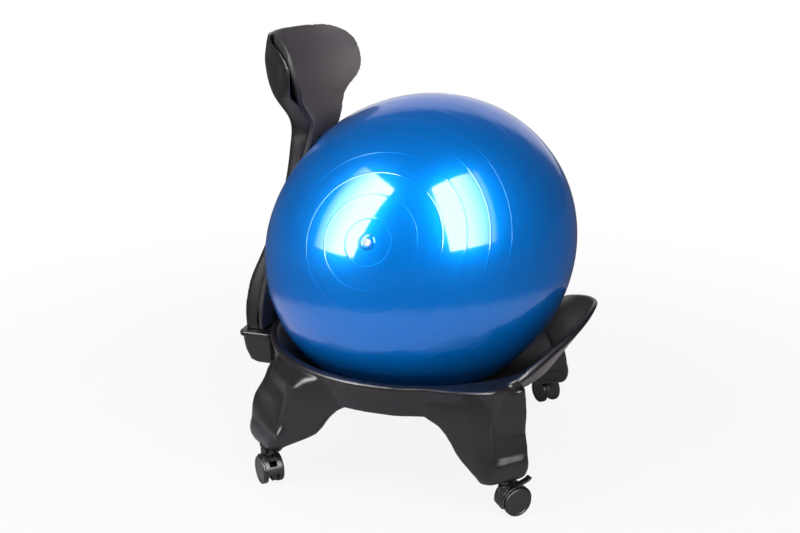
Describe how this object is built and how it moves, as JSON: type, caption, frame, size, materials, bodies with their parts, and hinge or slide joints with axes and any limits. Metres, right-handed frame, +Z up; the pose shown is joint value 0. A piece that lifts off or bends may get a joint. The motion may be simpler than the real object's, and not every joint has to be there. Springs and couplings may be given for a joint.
{
  "type": "balance ball chair",
  "caption": "Blue inflated exercise ball cradled in a black legged tray on braked twin-wheel casters, with a curved backrest standing in a rear socket.",
  "frame": {"origin": "on the floor, midway between the tip of the front lip and the back of the rear socket, on the plane of symmetry of the base", "axes": "+Z up, the sitter faces -Y, +X to the sitter's left"},
  "size_m": [0.5558, 0.6392, 0.7605],
  "materials": {
    "base_plastic": "satin",
    "panel_plastic": "matte",
    "shell_plastic": "satin",
    "caster_plastic": "satin",
    "wheel_nylon": "satin",
    "zinc_steel": "plated",
    "black_bolt": "black oxide",
    "ball_vinyl": "pearly gloss",
    "valve_plastic": "gloss"
  },
  "bodies": {
    "base": {"base_shell": "base_plastic", "back_socket": "base_plastic", "backrest_panel": "panel_plastic", "backrest_shell": "shell_plastic", "back_bolts": "black_bolt", "back_nuts": "zinc_steel", "socket_screws": "black_bolt", "stem_sleeve_rear_right": "caster_plastic", "stem_rear_right": "zinc_steel", "stem_sleeve_front_right": "caster_plastic", "stem_front_right": "zinc_steel", "stem_sleeve_front_left": "caster_plastic", "stem_front_left": "zinc_steel", "stem_sleeve_rear_left": "caster_plastic", "stem_rear_left": "zinc_steel"},
    "ball": {"ball": "ball_vinyl"},
    "valve_plug": {"valve_plug": "valve_plastic"},
    "swivel_rear_right": {"hood_rear_right": "caster_plastic", "axle_rear_right": "zinc_steel"},
    "wheel_a_rear_right": {"wheel_a_rear_right": "wheel_nylon"},
    "wheel_b_rear_right": {"wheel_b_rear_right": "wheel_nylon"},
    "brake_rear_right": {"brake_lever_rear_right": "caster_plastic"},
    "swivel_front_right": {"hood_front_right": "caster_plastic", "axle_front_right": "zinc_steel"},
    "wheel_a_front_right": {"wheel_a_front_right": "wheel_nylon"},
    "wheel_b_front_right": {"wheel_b_front_right": "wheel_nylon"},
    "brake_front_right": {"brake_lever_front_right": "caster_plastic"},
    "swivel_front_left": {"hood_front_left": "caster_plastic", "axle_front_left": "zinc_steel"},
    "wheel_a_front_left": {"wheel_a_front_left": "wheel_nylon"},
    "wheel_b_front_left": {"wheel_b_front_left": "wheel_nylon"},
    "swivel_rear_left": {"hood_rear_left": "caster_plastic", "axle_rear_left": "zinc_steel"},
    "wheel_a_rear_left": {"wheel_a_rear_left": "wheel_nylon"},
    "wheel_b_rear_left": {"wheel_b_rear_left": "wheel_nylon"}
  },
  "joints": [
    {"name": "ball_lift", "type": "slide", "parent": "base", "child": "ball", "axis": [0, -0.6157, 0.788], "range_m": [0, 0.3]},
    {"name": "valve_plug_pull", "type": "slide", "parent": "ball", "child": "valve_plug", "axis": [-0.956, 0.0234, 0.2924], "range_m": [0, 0.03]},
    {"name": "swivel_rear_right_turn", "type": "hinge", "parent": "base", "child": "swivel_rear_right", "pos_m": [-0.2235, 0.213, 0.04], "axis": [0, 0, 1], "continuous": true},
    {"name": "wheel_a_rear_right_roll", "type": "hinge", "parent": "swivel_rear_right", "child": "wheel_a_rear_right", "pos_m": [-0.23789, 0.19911, 0.025], "axis": [0.6947, -0.7193, 0], "continuous": true},
    {"name": "wheel_b_rear_right_roll", "type": "hinge", "parent": "swivel_rear_right", "child": "wheel_b_rear_right", "pos_m": [-0.23789, 0.19911, 0.025], "axis": [0.6947, -0.7193, 0], "continuous": true},
    {"name": "brake_rear_right_press", "type": "hinge", "parent": "swivel_rear_right", "child": "brake_rear_right", "pos_m": [-0.24436, 0.19285, 0.0475], "axis": [0.6947, -0.7193, 0], "range_deg": [0, 16]},
    {"name": "swivel_front_right_turn", "type": "hinge", "parent": "base", "child": "swivel_front_right", "pos_m": [-0.2235, -0.212, 0.04], "axis": [0, 0, 1], "continuous": true},
    {"name": "wheel_a_front_right_roll", "type": "hinge", "parent": "swivel_front_right", "child": "wheel_a_front_right", "pos_m": [-0.20936, -0.22614, 0.025], "axis": [0.7071, 0.7071, 0], "continuous": true},
    {"name": "wheel_b_front_right_roll", "type": "hinge", "parent": "swivel_front_right", "child": "wheel_b_front_right", "pos_m": [-0.20936, -0.22614, 0.025], "axis": [0.7071, 0.7071, 0], "continuous": true},
    {"name": "brake_front_right_press", "type": "hinge", "parent": "swivel_front_right", "child": "brake_front_right", "pos_m": [-0.20299, -0.23251, 0.0475], "axis": [0.7071, 0.7071, 0], "range_deg": [0, 16]},
    {"name": "swivel_front_left_turn", "type": "hinge", "parent": "base", "child": "swivel_front_left", "pos_m": [0.2235, -0.212, 0.04], "axis": [0, 0, 1], "continuous": true},
    {"name": "wheel_a_front_left_roll", "type": "hinge", "parent": "swivel_front_left", "child": "wheel_a_front_left", "pos_m": [0.23836, -0.19862, 0.025], "axis": [-0.6691, 0.7431, 0], "continuous": true},
    {"name": "wheel_b_front_left_roll", "type": "hinge", "parent": "swivel_front_left", "child": "wheel_b_front_left", "pos_m": [0.23836, -0.19862, 0.025], "axis": [-0.6691, 0.7431, 0], "continuous": true},
    {"name": "swivel_rear_left_turn", "type": "hinge", "parent": "base", "child": "swivel_rear_left", "pos_m": [0.2235, 0.213, 0.04], "axis": [0, 0, 1], "continuous": true},
    {"name": "wheel_a_rear_left_roll", "type": "hinge", "parent": "swivel_rear_left", "child": "wheel_a_rear_left", "pos_m": [0.21505, 0.23113, 0.025], "axis": [-0.9063, -0.4226, 0], "continuous": true},
    {"name": "wheel_b_rear_left_roll", "type": "hinge", "parent": "swivel_rear_left", "child": "wheel_b_rear_left", "pos_m": [0.21505, 0.23113, 0.025], "axis": [-0.9063, -0.4226, 0], "continuous": true}
  ]
}
